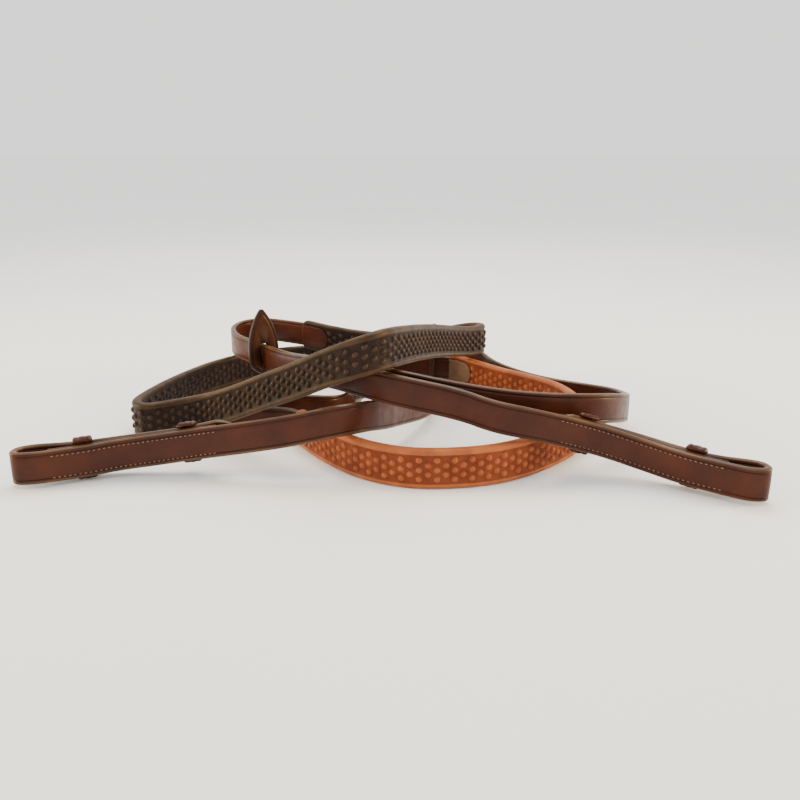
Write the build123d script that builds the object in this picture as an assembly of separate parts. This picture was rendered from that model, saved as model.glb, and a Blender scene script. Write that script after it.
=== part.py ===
from build123d import *
import math
import os

# A pair of riding reins with rubber grips, lying on edge in loose loops.
# Millimetres, +Z up, the floor at z = 0, origin under the middle of the pile.
STRAP_W = 16.0        # leather strap, 5/8 inch
STRAP_T = 3.4
GRIP_W = 20.0         # rubber sleeve round the strap
GRIP_T = 6.4
FIT = 0.3             # gap between a sleeve and what it holds
CHAPE_T = 1.0         # backing that is stitched to the strap at the bit end
KEEPER_W = 9.0        # along the strap
KEEPER_WALL = 1.4
STUD_R = 4.0
STUD_T = 1.6
STOP_ABOVE = 23.0     # how far the leaf of a rein stop reaches above the strap
STOP_BELOW = 4.2      # and below it, which keeps the leaf off the floor
STOP_W = 20.0
STOP_T = 3.4
SLOT_PLAY = 0.8       # between the strap and each side of the slot
TAB_W = 14.0          # leather leaves over the ends of the rubber
TAB_T = 1.0
TAB_LENGTH = 18.0
BUCKLE_LENGTH = 17.0
BUCKLE_HEIGHT = 24.0
BUCKLE_WIRE = 2.6
TONGUE_R = 1.0
BAR_ROOM = 2.15       # radius of the room a bar needs in the leather turned round it
TONGUE_SLOT = 4.4
STITCH_GAP = 0.05     # between pieces that are sewn face to face
ARC_STEP = 12.0       # degrees of an arc from one section of a strap to the next
ARC_SHARE = 0.45      # of the shorter run beside a corner, taken up by the corner's arc
SECTION_GAP = 0.5     # the least length between a strap's end and its next section
LEAF_UPPER = (0.72, 0.62)    # where a rein stop's side passes, as shares of its half width
LEAF_LOWER = (0.78, 0.6)     # and of its reach above or below the strap's middle

# Routes of the strap's middle line, from the billet's tip to the centre buckle: (x, y, z).
RIGHT_ROUTE = [
    (76, -81.3, 25.5), (97, -81, 19), (117, -86.5, 14.5), (135, -98, 11.5), (149, -104.5, 10),
    (160, -108.5, 10), (167, -112.5, 10), (166.5, -120.5, 10), (158, -120, 10), (147, -112.5, 10.5),
    (133, -103.5, 11.5), (117, -92, 14), (98, -86, 19), (78, -87, 24.5), (60, -90.5, 29.5),
    (44, -89.5, 32.5), (29, -84.5, 37), (0, -83, 43), (-16, -73, 44.5), (-34, -54, 44),
    (-50, -26, 39), (-64, 0, 34), (-78, 28, 30.5), (-94, 52, 29.5), (-108, 68, 30),
    (-115, 88, 31), (-111, 108, 31.5), (-97, 116, 31.5), (-80, 107, 31.5), (-64, 99, 31),
    (-48, 95, 28), (-26, 93, 24.5), (0, 93, 23), (24, 96, 25), (42, 98, 29),
    (54, 93, 31), (55.5, 79, 32), (45, 66, 33.5), (33, 43, 39), (17, -4, 50),
    (0, -62, 61), (-8, -84, 64), (-20, -88, 61), (-34, -82, 55), (-50, -68, 45),
    (-72, -50, 33), (-92, -36, 22), (-110, -24, 14), (-130, -25, 10.5), (-142, -30, 10),
    (-149.5, -21.5, 10), (-148, -6, 10), (-143, 17, 10), (-136, 39, 10), (-124, 68, 10),
    (-104, 94, 10), (-82, 107, 10), (-60, 114, 10), (-39, 118, 10), (-15, 119.5, 10),
    (4, 119, 12.2), (20, 119, 12.2),
]
LEFT_ROUTE = [
    (-82, -78, 21), (-104, -79.5, 16), (-121, -79.5, 13.5), (-138, -80.5, 11.5), (-152, -84, 10.5),
    (-165, -86.5, 10), (-177, -88.5, 10), (-184.5, -93, 10), (-183.5, -101, 10), (-174.5, -100.5, 10),
    (-163, -95.5, 10), (-151, -91.5, 10.5), (-138, -86, 11.5), (-120, -84.5, 13.5), (-100, -85.5, 17),
    (-76, -88, 21), (-54, -91.5, 25.5), (-36, -89, 28.8), (-24, -83, 29), (-15, -73, 27.5),
    (-8, -58, 23), (0, -36, 18), (13, -8, 12), (20, 15, 9), (19, 37, 8),
    (3, 50, 9), (-14, 56, 10), (-20, 67, 11), (-10, 77, 13), (8, 79, 13.5),
    (36, 75.5, 13), (48, 68, 11), (57, 57.5, 10.5), (66, 48, 10), (77, 37, 10),
    (90, 23, 10), (98, 6, 10), (101.5, -18, 10), (98, -41, 10), (87, -61, 10),
    (64, -84, 10), (42, -97, 10), (14, -101, 10), (-4, -97, 10), (-21, -86, 10),
    (-38, -66, 10), (-49, -48, 10), (-57, -32, 10), (-68, -25, 9), (-82, -21, 8),
    (-96, -19, 8), (-103, -12, 8), (-99, -4, 8), (-88, 1, 8), (-74, 2.5, 8),
    (-54, 2, 8), (-37, -1, 8), (-27, -15, 16), (-24, -34, 28), (-21, -52, 38),
    (-12, -66, 43), (0, -72, 43), (20, -73, 38.5), (48, -71, 33), (70, -70, 30.5),
    (94, -67, 29), (109, -59, 27), (122, -40, 21), (129.5, -14, 14), (128, 10, 10),
    (116, 26, 8), (95, 39, 8), (78, 58, 8), (64, 84, 8), (58, 104, 9.5),
    (50, 116, 12.2), (38.5, 119, 12.2),
]
# How far along each route, in mm from the billet's tip, its pieces sit.
RIGHT_PLACES = {
    "chape": 124.0, "outer_keeper": 140.5, "stud": 165.0, "inner_keeper": 192.0,
    "stop": 438.0, "grip_start": 563.0, "grip_end": 1240.0,
}
LEFT_PLACES = {
    "chape": 128.0, "outer_keeper": 144.0, "stud": 169.5, "inner_keeper": 194.0,
    "stop": 502.5, "grip_start": 514.5, "grip_end": 864.0,
}
# From the strap to its turned-back billet at the same places; plus is to the route's left.
RIGHT_BILLET = {"outer_keeper": -6.6, "stud": -5.1, "inner_keeper": -5.3}
LEFT_BILLET = {"outer_keeper": 7.9, "stud": 5.6, "inner_keeper": 6.3}
CHAPE_LENGTH = 80.0
PILE_SHIFT_X = 8.6    # brings the middle of the whole pile over the origin
PILE_SHIFT_Y = -0.4
BUCKLE_MIDDLE = (29.5 + PILE_SHIFT_X, 119 + PILE_SHIFT_Y, 12.2)


def moved(point):
    """A point of the lists above, in the part's own frame."""
    return (point[0] + PILE_SHIFT_X, point[1] + PILE_SHIFT_Y, point[2])


def corner_radius(before, here, after):
    """The radius of the arc that a corner's two runs have room for."""
    into = Vector(*here) - Vector(*before)
    out = Vector(*after) - Vector(*here)
    turn = math.radians(into.get_angle(out))
    return ARC_SHARE * min(into.length, out.length) / math.tan(turn / 2)


def route(points):
    """Straight runs joined by tangent arcs."""
    points = [moved(point) for point in points]
    radii = [corner_radius(*points[i - 1 : i + 2]) for i in range(1, len(points) - 1)]
    line = FilletPolyline(*points, radius=radii)
    print("radii", [round(r, 1) for r in radii], "length", round(line.length, 1))
    return line


def stations(line, start, end):
    """Places from start to end, in mm along the line: the ends of runs, and steps along each arc."""
    places = []
    gone = 0.0
    for edge in line.edges():
        steps = max(1, math.ceil((edge % 0).get_angle(edge % 1) / ARC_STEP))
        places += [gone + edge.length * (i + 1) / steps for i in range(steps)]
        gone += edge.length
    between = [place for place in places if start + SECTION_GAP < place < end - SECTION_GAP]
    return [start] + between + [end]


def upright_frame(line, place):
    """A plane across the line: x is level and to the line's left, y is up."""
    along = line % (place / line.length)
    origin = line @ (place / line.length)
    return Plane(origin=origin, x_dir=(-along.Y, along.X, 0), z_dir=(along.X, along.Y, 0))


def square_frame(line, place):
    """As upright_frame, but tilted to stand square to a strap that climbs."""
    along = line % (place / line.length)
    return Plane(origin=line @ (place / line.length), x_dir=(-along.Y, along.X, 0), z_dir=along)


def strap_along(line, width, thickness, start, end, offset=0.0, also=()):
    """A flat strap that stands on edge along the line, offset to the line's left."""
    section = Pos(offset, 0) * Rectangle(thickness, width)
    places = sorted(stations(line, start, end) + list(also))
    return loft([upright_frame(line, place) * section for place in places], ruled=True)


def buckle_end(strap, bar_x):
    """The strap's end turned round a bar of the buckle, with a slot for the tongue."""
    at_bar = Pos(bar_x, BUCKLE_MIDDLE[1], BUCKLE_MIDDLE[2])
    turned = strap + at_bar * Cylinder(BAR_ROOM + STRAP_T / 2, STRAP_W)
    turned -= at_bar * Cylinder(BAR_ROOM, 2 * STRAP_W)
    slot_depth = 2 * (BAR_ROOM + STRAP_T)
    return turned - at_bar * Box(slot_depth, slot_depth, TONGUE_SLOT)


def grip(line, start, end):
    """The rubber sleeve, with room for the strap through it."""
    tab_ends = (start + TAB_LENGTH, end - TAB_LENGTH)
    room = strap_along(line, STRAP_W + 2 * FIT, STRAP_T + 2 * FIT, start, end)
    return strap_along(line, GRIP_W, GRIP_T, start, end, also=tab_ends) - room


def keeper(line, place, to_billet):
    """A leather staple over the billet, whose ends are sewn down at the chape."""
    near = STRAP_T / 2 + CHAPE_T + 2 * STITCH_GAP
    far = abs(to_billet) + STRAP_T / 2 + 2 * FIT
    depth = far - near
    inside_height = STRAP_W + 4 * FIT
    band = Box(depth + KEEPER_WALL, inside_height + 2 * KEEPER_WALL, KEEPER_W)
    room = Pos(-KEEPER_WALL, 0, 0) * Box(depth + KEEPER_WALL, inside_height, 2 * KEEPER_W)
    middle = near + (depth + KEEPER_WALL) / 2
    turn = 0 if to_billet > 0 else 180
    return square_frame(line, place) * Rot(0, 0, turn) * Pos(middle, 0, 0) * (band - room)


def hook_stud(line, place, to_billet):
    """The button of the stud, outside the billet."""
    out = to_billet + math.copysign(STRAP_T / 2 + STUD_T / 2 + STITCH_GAP, to_billet)
    return square_frame(line, place) * Pos(out, 0, 0) * Rot(0, 90, 0) * Cylinder(STUD_R, STUD_T)


def rein_stop(line, place):
    """A leather leaf with pointed ends, and a slot that the strap runs through."""
    top = STRAP_W / 2 + STOP_ABOVE
    bottom = -STRAP_W / 2 - STOP_BELOW
    half = STOP_W / 2
    with BuildSketch() as leaf:
        with BuildLine() as side:
            ThreePointArc((0, top), (LEAF_UPPER[0] * half, LEAF_UPPER[1] * top), (half, 0))
            ThreePointArc((half, 0), (LEAF_LOWER[0] * half, LEAF_LOWER[1] * bottom), (0, bottom))
            mirror(side.line, about=Plane.YZ)
        make_face()
        Rectangle(STRAP_T + 2 * SLOT_PLAY, STRAP_W + 2 * SLOT_PLAY, mode=Mode.SUBTRACT)
    return square_frame(line, place) * extrude(leaf.sketch, amount=STOP_T / 2, both=True)


def buckle_frame():
    """A rectangular frame of square bar, standing on edge between the two reins' ends."""
    outer = Box(BUCKLE_LENGTH, BUCKLE_WIRE, BUCKLE_HEIGHT)
    inner = Box(BUCKLE_LENGTH - 2 * BUCKLE_WIRE, 2 * BUCKLE_WIRE, BUCKLE_HEIGHT - 2 * BUCKLE_WIRE)
    return Pos(*BUCKLE_MIDDLE) * (outer - inner)


def buckle_tongue():
    """A prong with an eye round the frame's +x bar, resting across the front of the -x bar."""
    eye = Cylinder(BAR_ROOM + TONGUE_R, 2 * TONGUE_R) - Cylinder(BAR_ROOM, 4 * TONGUE_R)
    front = -(BUCKLE_WIRE / 2 + TONGUE_R + FIT)
    reach = BUCKLE_LENGTH - BUCKLE_WIRE / 2
    prong = Pos(-reach / 2, front, 0) * Box(reach, 2 * TONGUE_R, 2 * TONGUE_R)
    bore = Cylinder(BAR_ROOM, 4 * TONGUE_R)
    return Pos(*BUCKLE_MIDDLE) * Pos((BUCKLE_LENGTH - BUCKLE_WIRE) / 2, 0, 0) * (eye + prong - bore)


def rein(side, line, strap, places, billet):
    """The pieces of one rein, as node name to shape."""
    start = places["grip_start"]
    end = places["grip_end"]
    toward_billet = math.copysign(1, billet["stud"])
    chape_offset = toward_billet * ((STRAP_T + CHAPE_T) / 2 + STITCH_GAP)
    tab_offset = (GRIP_T + TAB_T) / 2 + STITCH_GAP
    chape_end = places["chape"] + CHAPE_LENGTH
    nodes = {
        "strap": strap,
        "chape": strap_along(line, STRAP_W, CHAPE_T, places["chape"], chape_end, chape_offset),
        "outer_keeper": keeper(line, places["outer_keeper"], billet["outer_keeper"]),
        "inner_keeper": keeper(line, places["inner_keeper"], billet["inner_keeper"]),
        "hook_stud": hook_stud(line, places["stud"], billet["stud"]),
        "rein_stop": rein_stop(line, places["stop"]),
        "grip": grip(line, start, end),
    }
    for face, sign in (("left_face", 1), ("right_face", -1)):
        offset = sign * tab_offset
        nodes["front_tab_" + face] = strap_along(line, TAB_W, TAB_T, start, start + TAB_LENGTH, offset)
        nodes["rear_tab_" + face] = strap_along(line, TAB_W, TAB_T, end - TAB_LENGTH, end, offset)
    return {f"{side}_{name}": shape for name, shape in nodes.items()}


right_line = route(RIGHT_ROUTE)
left_line = route(LEFT_ROUTE)
right_strap = strap_along(right_line, STRAP_W, STRAP_T, 0, right_line.length)
left_strap = strap_along(left_line, STRAP_W, STRAP_T, 0, left_line.length)
bar_reach = (BUCKLE_LENGTH - BUCKLE_WIRE) / 2
right_strap = buckle_end(right_strap, BUCKLE_MIDDLE[0] - bar_reach)
left_strap = buckle_end(left_strap, BUCKLE_MIDDLE[0] + bar_reach)

nodes = rein("right", right_line, right_strap, RIGHT_PLACES, RIGHT_BILLET)
nodes |= rein("left", left_line, left_strap, LEFT_PLACES, LEFT_BILLET)
nodes["buckle_frame"] = buckle_frame()
nodes["buckle_tongue"] = buckle_tongue()

os.makedirs("parts", exist_ok=True)
for name, shape in nodes.items():
    print(name, "solids", len(shape.solids()), "volume", round(shape.volume))
    export_step(shape, f"parts/{name}.step")
whole = Compound([solid for shape in nodes.values() for solid in shape.solids()]).bounding_box()
print("box", whole.min, whole.max)
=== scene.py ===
import bisect
import math

import bmesh
import bpy
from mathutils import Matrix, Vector


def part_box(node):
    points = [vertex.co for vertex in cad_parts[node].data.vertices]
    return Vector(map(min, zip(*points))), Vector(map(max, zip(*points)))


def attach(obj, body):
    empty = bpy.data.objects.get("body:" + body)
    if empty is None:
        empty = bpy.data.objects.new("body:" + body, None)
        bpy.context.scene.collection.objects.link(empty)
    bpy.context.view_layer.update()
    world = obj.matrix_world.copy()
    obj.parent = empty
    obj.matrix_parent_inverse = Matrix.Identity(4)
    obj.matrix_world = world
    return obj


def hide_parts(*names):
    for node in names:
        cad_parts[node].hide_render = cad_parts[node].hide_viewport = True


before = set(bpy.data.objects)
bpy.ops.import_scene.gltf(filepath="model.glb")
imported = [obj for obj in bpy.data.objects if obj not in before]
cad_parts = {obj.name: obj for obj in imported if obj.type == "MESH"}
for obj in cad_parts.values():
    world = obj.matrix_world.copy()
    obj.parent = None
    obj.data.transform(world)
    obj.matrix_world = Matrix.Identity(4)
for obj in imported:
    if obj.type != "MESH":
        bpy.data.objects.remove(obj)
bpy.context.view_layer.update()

# A pair of riding reins lying on edge in loose loops on a pale floor. Metres, +Z up.
MM = 0.001

# ---------------------------------------------------------------- driving sizes
STRAP_W = 16.0 * MM
STRAP_T = 3.4 * MM
GRIP_W = 20.0 * MM
GRIP_CORE_T = 4.9 * MM      # between the grip's two faces, without the pimples
PIMPLE_R = 1.65 * MM
PIMPLE_RISE = 1.25 * MM
PIMPLE_STEP = 4.1 * MM      # along the grip, from one column of pimples to the next
PIMPLE_ROW = 4.7 * MM       # across it, from one row to the next
PIMPLE_FREE = 15.0 * MM     # smooth rubber at each end of a grip
TAB_LENGTH = 18.0 * MM
TAB_W = 14.0 * MM
TAB_T = 1.0 * MM
TAB_SEAT = 2.75 * MM        # from the strap's middle to where a tab's rim begins
TAB_UNDER = 0.35 * MM       # how far a tab reaches into the rubber under it
CHAPE_LENGTH = 80.0 * MM
CHAPE_T = 1.0 * MM
KEEPER_W = 9.0 * MM
KEEPER_WALL = 1.4 * MM
STOP_ABOVE = 23.0 * MM      # the stop's leaf above the strap
STOP_BELOW = 4.2 * MM
STOP_W = 20.0 * MM
STOP_T = 3.4 * MM
SLOT_PLAY = 0.6 * MM
STITCH_PITCH = 2.4 * MM
STITCH_IN = 2.6 * MM        # from the strap's edge to a row of stitches
BUCKLE_WIRE_R = 1.3 * MM
TONGUE_R = 1.0 * MM
PILE_SHIFT = Vector((8.6 * MM, -0.4 * MM, 0.0))
UP = Vector((0.0, 0.0, 1.0))

# ---------------------------------------------------------------- camera
camera_data = bpy.data.cameras.new("camera")
camera_data.lens = 37.1
camera_data.sensor_width = 36.0
camera = bpy.data.objects.new("camera", camera_data)
camera.location = Vector((0.0, -0.465, 0.1555)) + PILE_SHIFT
camera.rotation_euler = (math.radians(73.0), 0.0, 0.0)
bpy.context.scene.collection.objects.link(camera)
bpy.context.scene.camera = camera

# ---------------------------------------------------------------- routes, billet's tip to centre buckle
RIGHT_ROUTE = [
    (0.076, -0.0813, 0.0255), (0.097, -0.081, 0.019), (0.117, -0.0865, 0.0145), (0.135, -0.098, 0.0115),
    (0.149, -0.1045, 0.01), (0.16, -0.1085, 0.01), (0.167, -0.1125, 0.01), (0.1665, -0.1205, 0.01),
    (0.158, -0.12, 0.01), (0.147, -0.1125, 0.0105), (0.133, -0.1035, 0.0115), (0.117, -0.092, 0.014),
    (0.098, -0.086, 0.019), (0.078, -0.087, 0.0245), (0.06, -0.0905, 0.0295), (0.044, -0.0895, 0.0325),
    (0.029, -0.0845, 0.037), (0.0, -0.083, 0.043), (-0.016, -0.073, 0.0445), (-0.034, -0.054, 0.044),
    (-0.05, -0.026, 0.039), (-0.064, 0.0, 0.034), (-0.078, 0.028, 0.0305), (-0.094, 0.052, 0.0295),
    (-0.108, 0.068, 0.03), (-0.115, 0.088, 0.031), (-0.111, 0.108, 0.0315), (-0.097, 0.116, 0.0315),
    (-0.08, 0.107, 0.0315), (-0.064, 0.099, 0.031), (-0.048, 0.095, 0.028), (-0.026, 0.093, 0.0245),
    (0.0, 0.093, 0.023), (0.024, 0.096, 0.025), (0.042, 0.098, 0.029), (0.054, 0.093, 0.031),
    (0.0555, 0.079, 0.032), (0.045, 0.066, 0.0335), (0.033, 0.043, 0.039), (0.017, -0.004, 0.05),
    (0.0, -0.062, 0.061), (-0.008, -0.084, 0.064), (-0.02, -0.088, 0.061), (-0.034, -0.082, 0.055),
    (-0.05, -0.068, 0.045), (-0.072, -0.05, 0.033), (-0.092, -0.036, 0.022), (-0.11, -0.024, 0.014),
    (-0.13, -0.025, 0.0105), (-0.142, -0.03, 0.01), (-0.1495, -0.0215, 0.01), (-0.148, -0.006, 0.01),
    (-0.143, 0.017, 0.01), (-0.136, 0.039, 0.01), (-0.124, 0.068, 0.01), (-0.104, 0.094, 0.01),
    (-0.082, 0.107, 0.01), (-0.06, 0.114, 0.01), (-0.039, 0.118, 0.01), (-0.015, 0.1195, 0.01),
    (0.004, 0.119, 0.0122), (0.02, 0.119, 0.0122),
]
LEFT_ROUTE = [
    (-0.082, -0.078, 0.021), (-0.104, -0.0795, 0.016), (-0.121, -0.0795, 0.0135), (-0.138, -0.0805, 0.0115),
    (-0.152, -0.084, 0.0105), (-0.165, -0.0865, 0.01), (-0.177, -0.0885, 0.01), (-0.1845, -0.093, 0.01),
    (-0.1835, -0.101, 0.01), (-0.1745, -0.1005, 0.01), (-0.163, -0.0955, 0.01), (-0.151, -0.0915, 0.0105),
    (-0.138, -0.086, 0.0115), (-0.12, -0.0845, 0.0135), (-0.1, -0.0855, 0.017), (-0.076, -0.088, 0.021),
    (-0.054, -0.0915, 0.0255), (-0.036, -0.089, 0.0288), (-0.024, -0.083, 0.029), (-0.015, -0.073, 0.0275),
    (-0.008, -0.058, 0.023), (0.0, -0.036, 0.018), (0.013, -0.008, 0.012), (0.02, 0.015, 0.009),
    (0.019, 0.037, 0.008), (0.003, 0.05, 0.009), (-0.014, 0.056, 0.01), (-0.02, 0.067, 0.011),
    (-0.01, 0.077, 0.013), (0.008, 0.079, 0.0135), (0.036, 0.0755, 0.013), (0.048, 0.068, 0.011),
    (0.057, 0.0575, 0.0105), (0.066, 0.048, 0.01), (0.077, 0.037, 0.01), (0.09, 0.023, 0.01),
    (0.098, 0.006, 0.01), (0.1015, -0.018, 0.01), (0.098, -0.041, 0.01), (0.087, -0.061, 0.01),
    (0.064, -0.084, 0.01), (0.042, -0.097, 0.01), (0.014, -0.101, 0.01), (-0.004, -0.097, 0.01),
    (-0.021, -0.086, 0.01), (-0.038, -0.066, 0.01), (-0.049, -0.048, 0.01), (-0.057, -0.032, 0.01),
    (-0.068, -0.025, 0.009), (-0.082, -0.021, 0.008), (-0.096, -0.019, 0.008), (-0.103, -0.012, 0.008),
    (-0.099, -0.004, 0.008), (-0.088, 0.001, 0.008), (-0.074, 0.0025, 0.008), (-0.054, 0.002, 0.008),
    (-0.037, -0.001, 0.008), (-0.027, -0.015, 0.016), (-0.024, -0.034, 0.028), (-0.021, -0.052, 0.038),
    (-0.012, -0.066, 0.043), (0.0, -0.072, 0.043), (0.02, -0.073, 0.0385), (0.048, -0.071, 0.033),
    (0.07, -0.07, 0.0305), (0.094, -0.067, 0.029), (0.109, -0.059, 0.027), (0.122, -0.04, 0.021),
    (0.1295, -0.014, 0.014), (0.128, 0.01, 0.01), (0.116, 0.026, 0.008), (0.095, 0.039, 0.008),
    (0.078, 0.058, 0.008), (0.064, 0.084, 0.008), (0.058, 0.104, 0.0095), (0.05, 0.116, 0.0122),
    (0.0385, 0.119, 0.0122),
]


def route_line(name, route):
    """The smooth line of a route: its points, directions, and how far along each one is."""
    curve = bpy.data.curves.new(name, "CURVE")
    curve.dimensions = "3D"
    curve.resolution_u = 16
    spline = curve.splines.new("NURBS")
    spline.points.add(len(route) - 1)
    for point, place in zip(spline.points, route):
        point.co = (*(Vector(place) + PILE_SHIFT), 1.0)
    spline.order_u = 3
    spline.use_endpoint_u = True
    holder = bpy.data.objects.new(name, curve)
    mesh = bpy.data.meshes.new_from_object(holder)
    points = [vertex.co.copy() for vertex in mesh.vertices]
    bpy.data.objects.remove(holder)
    bpy.data.curves.remove(curve)
    bpy.data.meshes.remove(mesh)
    places = [0.0]
    for before, after in zip(points, points[1:]):
        places.append(places[-1] + (after - before).length)
    last = len(points) - 1
    ways = [(points[min(i + 1, last)] - points[max(i - 1, 0)]).normalized() for i in range(last + 1)]
    return {"points": points, "places": places, "ways": ways, "length": places[-1]}


def at(line, place):
    """The point and direction at a place along the line."""
    place = min(max(place, 0.0), line["length"])
    i = min(max(bisect.bisect(line["places"], place) - 1, 0), len(line["points"]) - 2)
    share = (place - line["places"][i]) / max(line["places"][i + 1] - line["places"][i], 1e-9)
    point = line["points"][i].lerp(line["points"][i + 1], share)
    return point, line["ways"][i].lerp(line["ways"][i + 1], share).normalized()


def nearest(line, spot, start=0.0, end=9.0):
    """The place between start and end where the line comes nearest to a spot."""
    inside = [i for i, place in enumerate(line["places"]) if start <= place <= end]
    return line["places"][min(inside, key=lambda i: (line["points"][i] - spot).length)]


def middle(node):
    """The middle of a CAD node's box."""
    low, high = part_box(node)
    return (Vector(low) + Vector(high)) / 2


def leftward(way):
    """The level direction to the left of a way along the strap."""
    return Vector((-way.y, way.x, 0.0)).normalized()


def steps(start, end, pitch):
    """Evenly spaced places from start to end, about a pitch apart."""
    count = max(2, round((end - start) / pitch) + 1)
    return [start + (end - start) * i / (count - 1) for i in range(count)]


# ---------------------------------------------------------------- mesh helpers
def make_piece(name, vertices, faces, materials, indices=None, smooth=True, outward=True):
    """A mesh object with its materials; indices give each face's material."""
    mesh = bpy.data.meshes.new(name)
    mesh.from_pydata(vertices, [], faces)
    for material in materials:
        mesh.materials.append(material)
    for i, polygon in enumerate(mesh.polygons):
        polygon.use_smooth = smooth
        if indices:
            polygon.material_index = indices[i]
    mesh.validate()
    if outward:
        shell = bmesh.new()
        shell.from_mesh(mesh)
        bmesh.ops.recalc_face_normals(shell, faces=shell.faces)
        shell.to_mesh(mesh)
        shell.free()
    piece = bpy.data.objects.new(name, mesh)
    bpy.context.scene.collection.objects.link(piece)
    return piece


def sweep(line, places, section, slots, shape=None):
    """A closed section carried along the line. Its points are (leftward, up); shape varies it by place."""
    vertices, faces, indices = [], [], []
    count = len(section)
    for place in places:
        point, way = at(line, place)
        side = leftward(way)
        for across, up in section:
            if shape:
                across, up = shape(place, across, up)
            vertices.append(point + side * across + UP * up)
    for row in range(len(places) - 1):
        for i in range(count):
            j = (i + 1) % count
            faces.append((row * count + i, row * count + j, (row + 1) * count + j, (row + 1) * count + i))
            indices.append(slots[i])
    faces.append(tuple(range(count))[::-1])
    faces.append(tuple((len(places) - 1) * count + i for i in range(count)))
    indices += [slots[0], slots[0]]
    return vertices, faces, indices


def two_faced(face, edge_crown, edge_half):
    """A closed section from one face's (up, leftward, slot) points, top first, mirrored to the other face."""
    points = [(across, up) for up, across, slot in face]
    slots = [slot for up, across, slot in face]
    points.append((0.35 * edge_half, -(face[0][0] + edge_crown)))
    slots.append(1)
    points.append((-0.35 * edge_half, -(face[0][0] + edge_crown)))
    slots.append(1)
    points += [(-across, up) for up, across, slot in reversed(face)]
    slots += [slot for up, across, slot in reversed(face)]
    points.append((-0.35 * edge_half, face[0][0] + edge_crown))
    slots.append(1)
    points.append((0.35 * edge_half, face[0][0] + edge_crown))
    slots.append(1)
    return points, slots


# ---------------------------------------------------------------- materials
def new_material(name):
    """An empty principled material with its nodes, links and shader."""
    material = bpy.data.materials.new(name)
    material.use_nodes = True
    nodes = material.node_tree.nodes
    return material, nodes, material.node_tree.links, nodes["Principled BSDF"]


def noise(nodes, links, scale, detail=4.0):
    """A noise texture in the object's own coordinates, scale in cells a metre."""
    place = nodes.new("ShaderNodeTexCoord")
    texture = nodes.new("ShaderNodeTexNoise")
    texture.inputs["Scale"].default_value = scale
    texture.inputs["Detail"].default_value = detail
    links.new(place.outputs["Object"], texture.inputs["Vector"])
    return texture.outputs["Fac"]


def cells(nodes, links, scale):
    """A cell texture, for the pores of leather."""
    place = nodes.new("ShaderNodeTexCoord")
    texture = nodes.new("ShaderNodeTexVoronoi")
    texture.inputs["Scale"].default_value = scale
    links.new(place.outputs["Object"], texture.inputs["Vector"])
    return texture.outputs["Distance"]


def ramp(nodes, links, source, low, high, colors):
    """A colour ramp between two colours, from the source's low value to its high one."""
    blend = nodes.new("ShaderNodeValToRGB")
    blend.color_ramp.elements[0].position = low
    blend.color_ramp.elements[1].position = high
    blend.color_ramp.elements[0].color = (*colors[0], 1.0)
    blend.color_ramp.elements[1].color = (*colors[1], 1.0)
    links.new(source, blend.inputs["Fac"])
    return blend.outputs["Color"]


def spread(nodes, links, source, low, high):
    """The source's 0.3 to 0.7 stretched to low and high."""
    stretch = nodes.new("ShaderNodeMapRange")
    stretch.inputs["From Min"].default_value = 0.3
    stretch.inputs["From Max"].default_value = 0.7
    stretch.inputs["To Min"].default_value = low
    stretch.inputs["To Max"].default_value = high
    links.new(source, stretch.inputs["Value"])
    return stretch.outputs["Result"]


def bumps(nodes, links, shader, layers):
    """A chain of bumps, each (source, depth in metres, strength), into the shader."""
    previous = None
    for source, depth, strength in layers:
        bump = nodes.new("ShaderNodeBump")
        bump.inputs["Distance"].default_value = depth
        bump.inputs["Strength"].default_value = strength
        links.new(source, bump.inputs["Height"])
        if previous:
            links.new(previous, bump.inputs["Normal"])
        previous = bump.outputs["Normal"]
    links.new(previous, shader.inputs["Normal"])


def leather(name, dark, light, rough, coat):
    """Waxed bridle leather: mottled colour, fine pores, long faint creases."""
    material, nodes, links, shader = new_material(name)
    mottle = noise(nodes, links, 55.0)
    links.new(ramp(nodes, links, mottle, 0.35, 0.68, (dark, light)), shader.inputs["Base Color"])
    sheen = spread(nodes, links, noise(nodes, links, 180.0), rough - 0.07, rough + 0.10)
    links.new(sheen, shader.inputs["Roughness"])
    bumps(nodes, links, shader, [
        (cells(nodes, links, 1500.0), 0.00012, 0.35),
        (noise(nodes, links, 420.0, 6.0), 0.00025, 0.30),
        (noise(nodes, links, 70.0), 0.0008, 0.25),
    ])
    shader.inputs["Coat Weight"].default_value = coat
    shader.inputs["Coat Roughness"].default_value = 0.22
    shader.inputs["Specular IOR Level"].default_value = 0.14
    return material


def rubber(name, dark, light, rough):
    """Moulded rubber: dusty mottling and a fine matt skin."""
    material, nodes, links, shader = new_material(name)
    dust = ramp(nodes, links, noise(nodes, links, 130.0, 6.0), 0.36, 0.66, (dark, light))
    links.new(dust, shader.inputs["Base Color"])
    dullness = spread(nodes, links, noise(nodes, links, 300.0), rough - 0.06, rough + 0.08)
    links.new(dullness, shader.inputs["Roughness"])
    bumps(nodes, links, shader, [
        (noise(nodes, links, 2600.0, 2.0), 0.00008, 0.40),
        (noise(nodes, links, 260.0), 0.0003, 0.25),
    ])
    shader.inputs["Specular IOR Level"].default_value = 0.16
    return material


def thread(name, dark, light):
    """Waxed linen thread, twisted."""
    material, nodes, links, shader = new_material(name)
    twist = ramp(nodes, links, noise(nodes, links, 900.0), 0.3, 0.7, (dark, light))
    links.new(twist, shader.inputs["Base Color"])
    shader.inputs["Roughness"].default_value = 0.55
    bumps(nodes, links, shader, [(noise(nodes, links, 4200.0), 0.00008, 0.6)])
    return material


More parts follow.
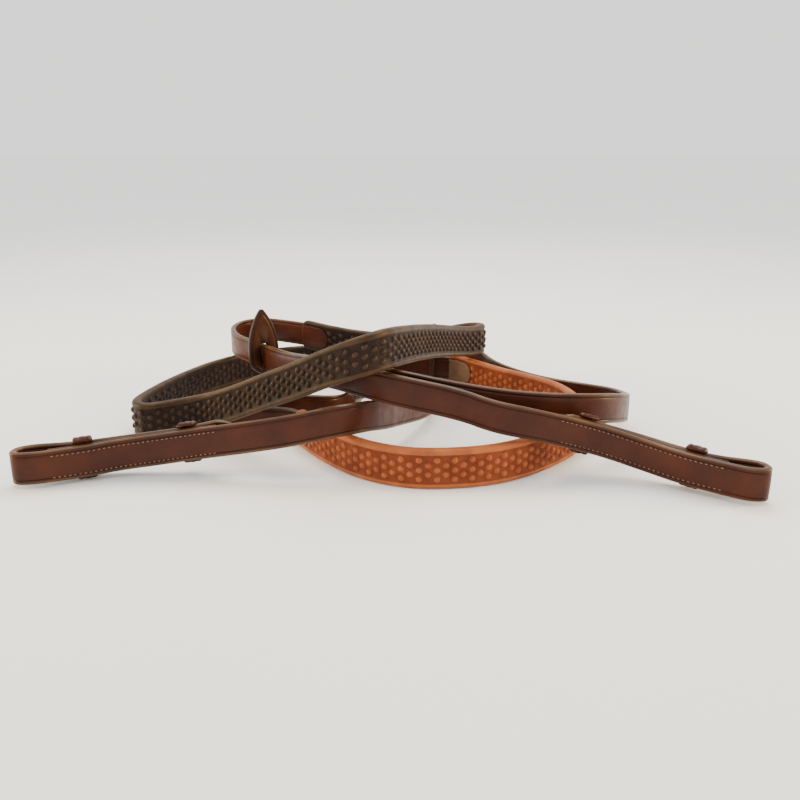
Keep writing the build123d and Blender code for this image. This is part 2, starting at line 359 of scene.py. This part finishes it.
def metal(name, color):
    """Polished steel with fine handling marks."""
    material, nodes, links, shader = new_material(name)
    shader.inputs["Metallic"].default_value = 1.0
    dulled = tuple(0.86 * part for part in color)
    tone = ramp(nodes, links, noise(nodes, links, 240.0), 0.35, 0.7, (dulled, color))
    links.new(tone, shader.inputs["Base Color"])
    links.new(spread(nodes, links, noise(nodes, links, 500.0), 0.18, 0.36), shader.inputs["Roughness"])
    bumps(nodes, links, shader, [(noise(nodes, links, 1800.0, 8.0), 0.00005, 0.3)])
    return material


LEATHER = leather("leather_face", (0.036, 0.0078, 0.0028), (0.058, 0.0132, 0.0044), 0.36, 0.06)
# The edge material is lighter and more golden than the face: a painted highlight where light catches the
# straps' edges.
LEATHER_EDGE_HIGHLIT = leather("leather_edge_painted_highlight", (0.045, 0.019, 0.006), (0.100, 0.046, 0.014), 0.36, 0.25)
# The crease material is far darker than the face: painted shade in the creased grooves of the straps, keepers
# and stops.
LEATHER_CREASE_SHADE = leather("leather_crease_painted_shade", (0.008, 0.003, 0.0015), (0.018, 0.006, 0.003), 0.45, 0.02)
LEATHER_TAN = leather("leather_tan", (0.085, 0.043, 0.021), (0.170, 0.092, 0.050), 0.5, 0.02)
STOP_FACE = leather("stop_leather_face", (0.036, 0.011, 0.004), (0.072, 0.024, 0.009), 0.40, 0.05)
STOP_EDGE = leather("stop_leather_edge", (0.014, 0.005, 0.003), (0.034, 0.013, 0.006), 0.42, 0.05)
# On both grips the field is darker than the rim and pimples: painted shade between the pimples.
ORANGE = rubber("orange_rubber_field_painted_shade", (0.128, 0.025, 0.0065), (0.190, 0.040, 0.0105), 0.58)
# On both grips the rim is lighter than the field: a painted highlight on the raised border.
ORANGE_RIM_HIGHLIT = rubber("orange_rubber_rim_painted_highlight", (0.270, 0.072, 0.021), (0.365, 0.107, 0.033), 0.5)
# On both grips the pimples are lighter than the field: painted highlights on the domes.
ORANGE_PIMPLE_HIGHLIT = rubber("orange_rubber_pimple_painted_highlight", (0.225, 0.053, 0.016), (0.315, 0.081, 0.025), 0.48)
DARK = rubber("dark_rubber_field_painted_shade", (0.009, 0.0040, 0.0018), (0.018, 0.0082, 0.0038), 0.55)
DARK_RIM_HIGHLIT = rubber("dark_rubber_rim_painted_highlight", (0.030, 0.0145, 0.0045), (0.055, 0.027, 0.0085), 0.48)
DARK_PIMPLE_HIGHLIT = rubber("dark_rubber_pimple_painted_highlight", (0.023, 0.0102, 0.0055), (0.042, 0.0195, 0.0108), 0.42)
THREAD = thread("stitch_thread", (0.105, 0.052, 0.026), (0.205, 0.115, 0.060))
METAL = metal("polished_steel", (0.62, 0.60, 0.56))

# ---------------------------------------------------------------- sections
# One face of the strap, top to bottom: (up, leftward, slot), with slots 0 face, 1 edge (lighter: a painted
# highlight), 2 crease (darker: painted shade).
HALF_W = STRAP_W / 2
HALF_T = STRAP_T / 2
FACE_UPPER = [
    (HALF_W - 0.10 * MM, HALF_T - 1.0 * MM, 1), (HALF_W - 0.22 * MM, HALF_T - 0.50 * MM, 1),
    (HALF_W - 0.45 * MM, HALF_T - 0.16 * MM, 1), (HALF_W - 0.85 * MM, HALF_T, 0),
    (HALF_W - 1.45 * MM, HALF_T + 0.02 * MM, 0), (HALF_W - 1.85 * MM, HALF_T - 0.10 * MM, 2),
    (HALF_W - 2.05 * MM, HALF_T - 0.38 * MM, 2), (HALF_W - 2.30 * MM, HALF_T - 0.10 * MM, 0),
    (HALF_W - 2.75 * MM, HALF_T, 0), (HALF_W - 4.5 * MM, HALF_T + 0.03 * MM, 0),
]


def whole_face(upper):
    """The full face from its upper half, with the slots kept with the right stretches."""
    lower = []
    for i in range(len(upper) - 1, -1, -1):
        slot = upper[i - 1][2] if i else 1
        lower.append((-upper[i][0], upper[i][1], slot))
    middle_point = (0.0, upper[-1][1] + 0.03 * MM, 0)
    return upper + [middle_point] + lower


STRAP_SECTION, STRAP_SLOTS = two_faced(whole_face(FACE_UPPER), 0.1 * MM, HALF_T)

GRIP_HALF_W = GRIP_W / 2
GRIP_HALF_T = GRIP_CORE_T / 2
GRIP_UPPER = [
    (GRIP_HALF_W - 0.10 * MM, GRIP_HALF_T - 1.3 * MM, 1),
    (GRIP_HALF_W - 0.3 * MM, GRIP_HALF_T - 0.45 * MM, 1),
    (GRIP_HALF_W - 0.8 * MM, GRIP_HALF_T + 0.15 * MM, 1),
    (GRIP_HALF_W - 1.6 * MM, GRIP_HALF_T + 0.35 * MM, 1),
    (GRIP_HALF_W - 2.6 * MM, GRIP_HALF_T + 0.30 * MM, 0),
    (GRIP_HALF_W - 3.3 * MM, GRIP_HALF_T, 0),
    (GRIP_HALF_W - 5.5 * MM, GRIP_HALF_T, 0),
]
GRIP_SECTION, GRIP_SLOTS = two_faced(whole_face(GRIP_UPPER), 0.1 * MM, GRIP_HALF_T)


# ---------------------------------------------------------------- pieces
def strap(name, line):
    """The leather strap, with a rounded point at the billet's tip."""
    tip = 9.0 * MM

    def pointed(place, across, up):
        share = min(1.0, place / tip)
        return across * (0.55 + 0.45 * share), up * (0.30 + 0.70 * math.sqrt(share))

    places = steps(0.0, tip, 0.8 * MM) + [p for p in line["places"] if p > tip + 0.3 * MM]
    vertices, faces, indices = sweep(line, places, STRAP_SECTION, STRAP_SLOTS, pointed)
    return make_piece(name, vertices, faces, [LEATHER, LEATHER_EDGE_HIGHLIT, LEATHER_CREASE_SHADE], indices)


def pimple(centre, out, along, up, vertices, faces):
    """One closed dome on a face of the rubber, its base a little under the surface."""
    up = up if along.cross(up).dot(out) > 0 else -up
    rings = [(1.08, -0.15), (1.0, 0.06), (0.90, 0.42), (0.70, 0.73), (0.40, 0.93)]
    corners = 10
    first = len(vertices)
    for reach, rise in rings:
        for i in range(corners):
            turn = 2 * math.pi * i / corners
            flat = along * math.cos(turn) + up * math.sin(turn)
            vertices.append(centre + flat * PIMPLE_R * reach + out * PIMPLE_RISE * rise)
    vertices.append(centre + out * PIMPLE_RISE)
    for ring in range(len(rings) - 1):
        for i in range(corners):
            j = (i + 1) % corners
            low = first + ring * corners
            faces.append((low + i, low + j, low + corners + j, low + corners + i))
    top = first + (len(rings) - 1) * corners
    for i in range(corners):
        faces.append((top + i, top + (i + 1) % corners, len(vertices) - 1))
    faces.append(tuple(range(first, first + corners))[::-1])


def grip(name, line, start, end, rubbers):
    """The rubber sleeve with staggered pimples on both faces; rubbers are its field (darkened, painted shade
    between the pimples), rim and pimples (both lightened, painted highlights).
    """
    places = steps(start, end, 1.6 * MM)

    def closed_ends(place, across, up):
        near_end = min(place - start, end - place)
        share = min(1.0, 0.86 + 0.14 * near_end / (2.0 * MM))
        return across * share, up * share

    vertices, faces, indices = sweep(line, places, GRIP_SECTION, GRIP_SLOTS, closed_ends)
    columns = steps(start + PIMPLE_FREE, end - PIMPLE_FREE, PIMPLE_STEP)
    for number, place in enumerate(columns):
        point, way = at(line, place)
        side = leftward(way)
        rows = (-1.0, 0.0, 1.0) if number % 2 else (-0.5, 0.5)
        for row in rows:
            for out in (side, -side):
                before = len(faces)
                height = UP * (row * PIMPLE_ROW)
                pimple(point + height + out * GRIP_HALF_T, out, way, UP, vertices, faces)
                indices += [2] * (len(faces) - before)
    return make_piece(name, vertices, faces, rubbers, indices)


def tab(name, line, start, round_end, side_sign, material):
    """A thin D-shaped leaf on one face of the rubber, with a raised rim; round_end is +1 or -1."""
    rows = 22
    columns = 14
    vertices, faces = [], []
    straight = TAB_LENGTH - TAB_W / 2
    for i in range(rows + 1):
        reach = TAB_LENGTH * i / rows
        over = max(0.0, reach - straight) / (TAB_W / 2)
        half = TAB_W / 2 * math.sqrt(max(0.0, 1.0 - min(over, 1.0) ** 2))
        half = max(half, 0.25 * MM)
        point, way = at(line, start + round_end * reach)
        side = leftward(way) * side_sign
        for layer in (0, 1):
            for j in range(columns + 1):
                share = 2.0 * j / columns - 1.0
                from_rim = min(TAB_W / 2 * (1 - abs(share)) * half / (TAB_W / 2), TAB_LENGTH - reach)
                rise = -TAB_UNDER
                if layer:
                    rise = TAB_T * min(1.0, 0.35 + from_rim / (0.5 * MM))
                    rise -= 0.38 * MM * math.exp(-((from_rim - 1.9 * MM) / (0.35 * MM)) ** 2)
                vertices.append(point + side * (TAB_SEAT + rise) + UP * (half * share))
    wide = columns + 1
    for i in range(rows):
        low = i * 2 * wide
        high = (i + 1) * 2 * wide
        for j in range(columns):
            faces.append((low + j, low + j + 1, high + j + 1, high + j))
            faces.append((low + wide + j, high + wide + j, high + wide + j + 1, low + wide + j + 1))
        faces.append((low, high, high + wide, low + wide))
        faces.append((low + columns, low + wide + columns, high + wide + columns, high + columns))
    last = rows * 2 * wide
    for j in range(columns):
        faces.append((j, wide + j, wide + j + 1, j + 1))
        faces.append((last + j, last + j + 1, last + wide + j + 1, last + wide + j))
    return make_piece(name, vertices, faces, [material])


def chape(name, line, start, to_billet):
    """The backing sewn to the strap at the bit end."""
    sign = math.copysign(1.0, to_billet)
    inner = HALF_T + 0.05 * MM
    half = HALF_W - 0.1 * MM
    section = [
        (sign * inner, half), (sign * (inner + 0.7 * CHAPE_T), half),
        (sign * (inner + CHAPE_T), half - 0.3 * MM), (sign * (inner + CHAPE_T), 0.0),
        (sign * (inner + CHAPE_T), -half + 0.3 * MM), (sign * (inner + 0.7 * CHAPE_T), -half),
        (sign * inner, -half), (sign * inner, 0.0),
    ]
    slots = [1, 1, 0, 0, 1, 1, 0, 0]
    vertices, faces, indices = sweep(line, steps(start, start + CHAPE_LENGTH, 1.5 * MM), section, slots)
    return make_piece(name, vertices, faces, [LEATHER, LEATHER_EDGE_HIGHLIT], indices)


def stitch(centre, along, out, up, vertices, faces):
    """One short thread, proud of the leather in the middle and sunk at its ends."""
    half_length = 0.66 * MM
    rings = 5
    corners = 6
    first = len(vertices)
    for i in range(rings):
        share = 2.0 * i / (rings - 1) - 1.0
        bulge = math.sqrt(max(0.0, 1.0 - share ** 2)) + 0.15
        for j in range(corners):
            turn = 2 * math.pi * j / corners
            ring = out * (math.cos(turn) * 0.26 * MM) + up * (math.sin(turn) * 0.30 * MM)
            lift = out * (0.10 * MM * bulge)
            vertices.append(centre + along * (share * half_length) + ring * min(bulge, 1.0) + lift)
    for i in range(rings - 1):
        for j in range(corners):
            k = (j + 1) % corners
            low = first + i * corners
            faces.append((low + j, low + k, low + corners + k, low + corners + j))
    faces.append(tuple(first + j for j in range(corners))[::-1])
    faces.append(tuple(first + (rings - 1) * corners + j for j in range(corners)))


def stitch_rows(name, line, chape_start, to_billet):
    """Two rows on the strap's outer face, where the chape is sewn to it."""
    vertices, faces = [], []
    sign = -math.copysign(1.0, to_billet)
    start = chape_start + 1.5 * MM
    for place in steps(start, chape_start + CHAPE_LENGTH, STITCH_PITCH):
        point, way = at(line, place)
        out = leftward(way) * sign
        for row in (-1.0, 1.0):
            spot = point + out * HALF_T + UP * (row * (HALF_W - STITCH_IN))
            slant = way + UP * 0.12
            stitch(spot, slant.normalized(), out, UP, vertices, faces)
    return make_piece(name, vertices, faces, [THREAD])


def staple(name, line, place, to_billet_point):
    """A keeper: a crowned band over the billet, whose ends are sewn down at the chape."""
    point, way = at(line, place)
    side = leftward(way)
    toward = to_billet_point - point
    reach = toward.dot(side)
    sign = math.copysign(1.0, reach)
    up = way.cross(side).normalized()
    if up.z < 0:
        up = -up
    near = HALF_T + CHAPE_T + 0.1 * MM
    far = abs(reach) + HALF_T + 0.6 * MM
    tall = HALF_W + 0.6 * MM
    corner = 1.5 * MM
    ring = [(near, tall)]
    for i in range(7):
        turn = math.pi / 2 * (1 - i / 6)
        ring.append((far - corner + corner * math.cos(turn), tall - corner + corner * math.sin(turn)))
    ring += [(across, -upward) for across, upward in reversed(ring)]
    half = KEEPER_W / 2
    band = [
        (-half, 0.0), (-half, 0.5 * KEEPER_WALL), (-0.88 * half, 0.85 * KEEPER_WALL),
        (-0.6 * half, 1.0 * KEEPER_WALL), (-0.5 * half, 0.82 * KEEPER_WALL), (0.0, 1.05 * KEEPER_WALL),
        (0.5 * half, 0.82 * KEEPER_WALL), (0.6 * half, 1.0 * KEEPER_WALL),
        (0.88 * half, 0.85 * KEEPER_WALL), (half, 0.5 * KEEPER_WALL), (half, 0.0), (0.0, 0.0),
    ]
    # Slot 1 takes the lightened edge material (a painted highlight); slot 2, the two grooves, takes the
    # darkened crease material (painted shade).
    slots = [1, 1, 0, 2, 0, 0, 2, 0, 1, 1, 0, 0]
    vertices, faces, indices = [], [], []
    for i, (across, upward) in enumerate(ring):
        before = Vector(ring[max(i - 1, 0)])
        after = Vector(ring[min(i + 1, len(ring) - 1)])
        run = (after - before).normalized()
        outward = Vector((-run.y, run.x))
        for along, rise in band:
            flat = Vector((across, upward)) + outward * rise
            vertices.append(point + side * (sign * flat.x) + up * flat.y + way * along)
    wide = len(band)
    for i in range(len(ring) - 1):
        for j in range(wide):
            k = (j + 1) % wide
            faces.append((i * wide + j, i * wide + k, (i + 1) * wide + k, (i + 1) * wide + j))
            indices.append(slots[j])
    faces.append(tuple(range(wide)))
    faces.append(tuple((len(ring) - 1) * wide + j for j in range(wide))[::-1])
    indices += [0, 0]
    return make_piece(name, vertices, faces, [LEATHER, LEATHER_EDGE_HIGHLIT, LEATHER_CREASE_SHADE], indices)


def lathe(name, centre, axis, profile, material, corners=28):
    """A turned piece: profile is (along the axis, radius)."""
    across = axis.orthogonal().normalized()
    other = axis.cross(across)
    vertices, faces = [], []
    for along, radius in profile:
        for i in range(corners):
            turn = 2 * math.pi * i / corners
            flat = across * math.cos(turn) + other * math.sin(turn)
            vertices.append(centre + axis * along + flat * radius)
    for ring in range(len(profile) - 1):
        for i in range(corners):
            j = (i + 1) % corners
            low = ring * corners
            faces.append((low + i, low + j, low + corners + j, low + corners + i))
    faces.append(tuple(range(corners))[::-1])
    faces.append(tuple((len(profile) - 1) * corners + i for i in range(corners)))
    return make_piece(name, vertices, faces, [material])


def hook_stud(name, node, line, place):
    """The stud's domed button, where the CAD has it."""
    point, way = at(line, place)
    axis = leftward(way)
    centre = middle(node)
    if (centre - point).dot(axis) < 0:
        axis = -axis
    profile = [
        (-0.8 * MM, 1.2 * MM), (-0.5 * MM, 3.2 * MM), (-0.2 * MM, 3.9 * MM), (0.1 * MM, 3.95 * MM),
        (0.35 * MM, 3.6 * MM), (0.6 * MM, 2.6 * MM), (0.75 * MM, 1.4 * MM), (0.8 * MM, 0.3 * MM),
    ]
    return lathe(name, centre, axis, profile, METAL)


def leaf_reach(turn, inset):
    """How far the stop's outline is from the middle of its slot, in one direction."""
    top = HALF_W + STOP_ABOVE - inset * 1.6
    bottom = HALF_W + STOP_BELOW - inset * 1.2
    half = STOP_W / 2 - inset
    direction = (math.cos(turn), math.sin(turn))
    tall, power = (top, 2.66) if direction[1] >= 0 else (bottom, 2.96)
    low, high = 0.0, 0.05
    for _ in range(40):
        reach = (low + high) / 2
        up = abs(reach * direction[1]) / tall
        inside = up < 1 and abs(reach * direction[0]) < half * (1 - up ** power)
        low, high = (reach, high) if inside else (low, reach)
    return low


def slot_reach(turn):
    """How far the edge of the slot is from its middle, in one direction."""
    half_width = HALF_T + SLOT_PLAY
    half_height = HALF_W + SLOT_PLAY
    return min(half_width / max(abs(math.cos(turn)), 1e-6), half_height / max(abs(math.sin(turn)), 1e-6))


def rein_stop(name, line, place):
    """A leather leaf with pointed ends and a slot for the strap, lined near its edge; the line is darkened as
    painted shade.
    """
    point, way = at(line, place)
    side = leftward(way)
    up = side.cross(way).normalized()
    if up.z < 0:
        up = -up
    thick = STOP_T / 2
    count = 96
    # Each ring: how far in from the outline, how far out of the leaf's middle, and its slot. The slot 2
    # rings, the line near the edge, are darkened as painted shade.
    rings = [
        (0.0, 0.25, 1), (0.12, 0.62, 1), (0.45, 0.90, 1), (0.9, 1.0, 0), (1.6, 1.0, 2),
        (1.85, 0.80, 2), (2.1, 1.0, 0), (3.0, 1.03, 0),
    ]
    vertices, faces, indices = [], [], []
    levels = []
    for face in (1.0, -1.0):
        for inset, rise, slot in rings:
            levels.append((inset, face * rise, slot, face))
        levels.append((None, face * 1.0, 0, face))
    for inset, rise, slot, face in levels:
        for i in range(count):
            turn = 2 * math.pi * (i + 0.5) / count
            near = slot_reach(turn)
            if inset is None:
                reach = near
            else:
                reach = max(leaf_reach(turn, inset * MM), near + 0.15 * MM * (1 + 0.1 * (3 - inset)))
            spot = side * (reach * math.cos(turn)) + up * (reach * math.sin(turn))
            vertices.append(point + spot + way * (rise * thick))
    per_face = len(rings) + 1
    for face in (0, 1):
        for ring in range(per_face - 1):
            low = (face * per_face + ring) * count
            for i in range(count):
                j = (i + 1) % count
                quad = (low + i, low + j, low + count + j, low + count + i)
                faces.append(quad if face else quad[::-1])
                indices.append(levels[face * per_face + ring][2])
    for first, second, flip in ((0, per_face, False), (per_face - 1, 2 * per_face - 1, True)):
        for i in range(count):
            j = (i + 1) % count
            quad = (first * count + i, first * count + j, second * count + j, second * count + i)
            faces.append(quad[::-1] if flip else quad)
            indices.append(1)
    return make_piece(name, vertices, faces, [STOP_FACE, STOP_EDGE, LEATHER_CREASE_SHADE], indices)


def wire(name, points, radius, closed, material, corners=12):
    """A round wire through the points, or round them when closed."""
    vertices, faces = [], []
    count = len(points)
    for i, point in enumerate(points):
        before = points[i - 1] if closed or i else points[i]
        after = points[(i + 1) % count] if closed or i < count - 1 else points[i]
        way = (after - before).normalized()
        first = way.cross(Vector((0.0, 1.0, 0.0)))
        if first.length < 0.1:
            first = way.cross(UP)
        first.normalize()
        second = way.cross(first)
        for j in range(corners):
            turn = 2 * math.pi * j / corners
            thick = radius(i / max(count - 1, 1))
            vertices.append(point + first * (math.cos(turn) * thick) + second * (math.sin(turn) * thick))
    for i in range(count if closed else count - 1):
        for j in range(corners):
            k = (j + 1) % corners
            low = i * corners
            high = ((i + 1) % count) * corners
            faces.append((low + j, low + k, high + k, high + j))
    if not closed:
        faces.append(tuple(range(corners))[::-1])
        faces.append(tuple((count - 1) * corners + j for j in range(corners)))
    return make_piece(name, vertices, faces, [material])


def buckle_frame():
    """A rounded rectangle of wire, standing on edge."""
    low, high = (Vector(corner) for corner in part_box("buckle_frame"))
    centre = (low + high) / 2
    half_x = (high.x - low.x) / 2 - BUCKLE_WIRE_R
    half_z = (high.z - low.z) / 2 - BUCKLE_WIRE_R
    corner = 1.6 * MM
    points = []
    for number, (sx, sz) in enumerate(((1, 1), (-1, 1), (-1, -1), (1, -1))):
        for i in range(7):
            turn = math.pi / 2 * (number + i / 6)
            x = sx * (half_x - corner) + corner * math.cos(turn)
            z = sz * (half_z - corner) + corner * math.sin(turn)
            points.append(centre + Vector((x, 0.0, z)))
    return wire("buckle_frame_visual", points, lambda share: BUCKLE_WIRE_R, True, METAL)


def buckle_tongue():
    """A tapered prong with an eye round the frame's +x bar, as one run of wire."""
    bar = bar_middle(1)
    eye = BUCKLE_WIRE_R + TONGUE_R + 0.05 * MM
    points = []
    for i in range(17):
        turn = math.pi * (-0.15 + 1.65 * i / 16)
        points.append(bar + Vector((eye * math.cos(turn), eye * math.sin(turn), 0.0)))
    tip = bar_middle(-1) + Vector((-0.9 * MM, -eye, 0.0))
    start = bar + Vector((0.0, -eye, 0.0))
    points += [start.lerp(tip, i / 10) for i in range(1, 11)]

    def taper(share):
        return TONGUE_R * (1.0 - 0.25 * max(0.0, share - 0.55) / 0.45)

    return wire("buckle_tongue_visual", points, taper, False, METAL)


def bar_middle(sign):
    """The middle of the buckle's bar on the +x or -x side."""
    low, high = (Vector(corner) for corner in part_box("buckle_frame"))
    x = high.x - BUCKLE_WIRE_R if sign > 0 else low.x + BUCKLE_WIRE_R
    return Vector((x, (low.y + high.y) / 2, (low.z + high.z) / 2))


def buckle_turn(name, sign):
    """The end of a strap, turned round its bar, in two lips with the tongue's slot between them."""
    bar = bar_middle(sign)
    inner = 1.75 * MM
    outer = inner + 1.6 * MM
    slot_half = 2.2 * MM
    vertices, faces, indices = [], [], []
    corners = 26
    for low, high in ((slot_half, HALF_W - 0.1 * MM), (-HALF_W + 0.1 * MM, -slot_half)):
        first = len(vertices)
        section = [
            (inner, low), (outer - 0.3 * MM, low), (outer, low + 0.3 * MM),
            (outer, high - 0.3 * MM), (outer - 0.3 * MM, high), (inner, high),
        ]
        wide = len(section)
        for i in range(corners):
            turn = math.pi * 2 * i / corners
            for reach, up in section:
                flat = Vector((reach * math.cos(turn), reach * math.sin(turn), up))
                vertices.append(bar + flat)
        for i in range(corners):
            for j in range(wide):
                k = (j + 1) % wide
                a = first + i * wide
                b = first + ((i + 1) % corners) * wide
                faces.append((a + j, a + k, b + k, b + j))
                indices.append(0 if j == 2 or j == 5 else 1)
    return make_piece(name, vertices, faces, [LEATHER, LEATHER_EDGE_HIGHLIT], indices)


# ---------------------------------------------------------------- assembling one rein
def rein(side, route, rubbers, tab_leather):
    """Every visible piece of one rein."""
    line = route_line(side + "_line", route)
    return_leg = 120.0 * MM
    billet_leg = 105.0 * MM
    places = {
        part: nearest(line, middle(f"{side}_{part}"), return_leg)
        for part in ("outer_keeper", "inner_keeper", "hook_stud")
    }
    chape_start = places["outer_keeper"] - 16.0 * MM
    billet = at(line, nearest(line, middle(side + "_hook_stud"), 0.0, billet_leg))[0]
    stud_point, stud_way = at(line, places["hook_stud"])
    to_billet = (billet - stud_point).dot(leftward(stud_way))
    on_reins = [strap(side + "_strap_visual", line)]
    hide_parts(side + "_strap")

    def add(piece, node=None, body="reins"):
        if node:
            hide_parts(node)
        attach(piece, body)
        return piece

    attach(on_reins[0], "reins")
    extras = [
        add(chape(side + "_chape_visual", line, chape_start, to_billet), side + "_chape"),
        add(stitch_rows(side + "_stitches", line, chape_start, to_billet)),
    ]
    for part in ("outer_keeper", "inner_keeper"):
        rear = at(line, nearest(line, middle(f"{side}_{part}"), 0.0, billet_leg))[0]
        piece = staple(f"{side}_{part}_visual", line, places[part], rear)
        extras.append(add(piece, f"{side}_{part}"))
    stud = hook_stud(side + "_hook_stud_visual", side + "_hook_stud", line, places["hook_stud"])
    extras.append(add(stud, side + "_hook_stud"))

    front = side + "_front_tab_left_face"
    rear = side + "_rear_tab_left_face"
    start = nearest(line, middle(front), 400.0 * MM) - TAB_LENGTH / 2
    end = nearest(line, middle(rear), start + 200.0 * MM) + TAB_LENGTH / 2
    sleeve = grip(side + "_grip_visual", line, start, end, rubbers)
    extras.append(add(sleeve, side + "_grip"))
    for face, sign in (("left_face", 1.0), ("right_face", -1.0)):
        for where, place, way in (("front", start, 1), ("rear", end, -1)):
            node = f"{side}_{where}_tab_{face}"
            piece = tab(node + "_visual", line, place, way, sign, tab_leather)
            extras.append(add(piece, node))

    slot_middle = middle(side + "_rein_stop") - UP * (STOP_ABOVE - STOP_BELOW) / 2
    stop = rein_stop(side + "_rein_stop_visual", line, nearest(line, slot_middle, 300.0 * MM))
    add(stop, side + "_rein_stop", side + "_stop")
    bar_side = -1 if side == "right" else 1
    extras.append(add(buckle_turn(side + "_buckle_turn", bar_side)))
    print(side, "rein", round(line["length"], 3), "m, grip", round(end - start, 3), "m")


rein("right", RIGHT_ROUTE, [DARK, DARK_RIM_HIGHLIT, DARK_PIMPLE_HIGHLIT], LEATHER)
rein("left", LEFT_ROUTE, [ORANGE, ORANGE_RIM_HIGHLIT, ORANGE_PIMPLE_HIGHLIT], LEATHER_TAN)

BUCKLE = ((buckle_frame(), "buckle_frame", "reins"), (buckle_tongue(), "buckle_tongue", "tongue"))
for piece, node, body in BUCKLE:
    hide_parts(node)
    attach(piece, body)


# ---------------------------------------------------------------- floor and light
def floor():
    """A pale floor, a plane 40 m square, that reaches far behind the reins."""
    material, nodes, links, shader = new_material("pale_floor")
    pale = ((0.945, 0.945, 0.94), (0.965, 0.965, 0.96))
    links.new(ramp(nodes, links, noise(nodes, links, 3.0), 0.3, 0.7, pale), shader.inputs["Base Color"])
    shader.inputs["Roughness"].default_value = 0.7
    half = 20.0
    corners = [(-half, -half, 0.0), (half, -half, 0.0), (half, half, 0.0), (-half, half, 0.0)]
    plane = make_piece("floor", corners, [(0, 1, 2, 3)], [material], smooth=False)


def area_light(name, spot, aim, size, power, color, cone=180.0):
    """A soft square light that looks at a spot, its light kept within a cone of some degrees."""
    data = bpy.data.lights.new(name, "AREA")
    data.size = size
    data.energy = power
    data.color = color
    data.spread = math.radians(cone)
    lamp = bpy.data.objects.new(name, data)
    lamp.location = spot
    lamp.rotation_euler = (Vector(aim) - Vector(spot)).to_track_quat("-Z", "Y").to_euler()
    bpy.context.scene.collection.objects.link(lamp)


floor()
world = bpy.data.worlds.new("studio")
world.use_nodes = True
world.node_tree.nodes["Background"].inputs["Color"].default_value = (1.0, 0.995, 0.985, 1.0)
world.node_tree.nodes["Background"].inputs["Strength"].default_value = 1.5
bpy.context.scene.world = world
AIM = (0.0, 0.0, 0.03)
GOLD = (1.0, 0.74, 0.36)
area_light("side_left", (-1.30, -0.05, 0.36), AIM, 0.40, 3.2, GOLD, 70.0)
area_light("side_right", (1.30, -0.05, 0.36), AIM, 0.40, 3.2, GOLD, 70.0)
area_light("key_above", (0.05, 0.40, 1.0), AIM, 0.6, 9.0, (1.0, 0.95, 0.86))
